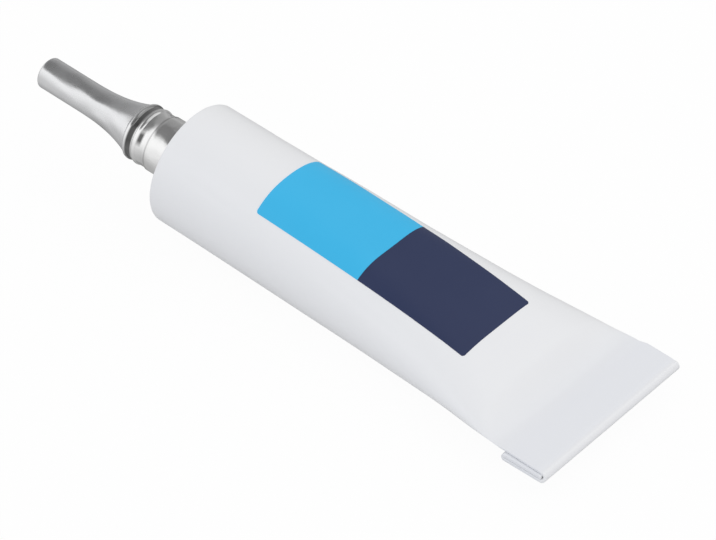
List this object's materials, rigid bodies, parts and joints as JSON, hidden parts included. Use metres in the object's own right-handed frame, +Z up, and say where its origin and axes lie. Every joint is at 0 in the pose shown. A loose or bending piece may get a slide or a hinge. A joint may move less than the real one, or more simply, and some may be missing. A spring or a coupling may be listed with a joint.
{
  "type": "collapsible aluminium caulk tube with an integral nozzle",
  "caption": "Sealed collapsible aluminium tube of sealant, pressed flat and folded at one end, with a ringed neck and a long thin closed nozzle at the other.",
  "frame": {"origin": "middle of the lying tube's box, on the surface it lies on", "axes": "+X along the tube, from the nozzle to the folded end; +Y across it; +Z up"},
  "size_m": [0.0874, 0.0258, 0.017],
  "materials": {
    "white_lacquer": "gloss",
    "bare_aluminium": "satin",
    "light_blue_ink": "gloss",
    "navy_ink": "gloss"
  },
  "bodies": {
    "root": {"tube": "white_lacquer", "light_blue_print": "light_blue_ink", "navy_print": "navy_ink"}
  },
  "joints": []
}
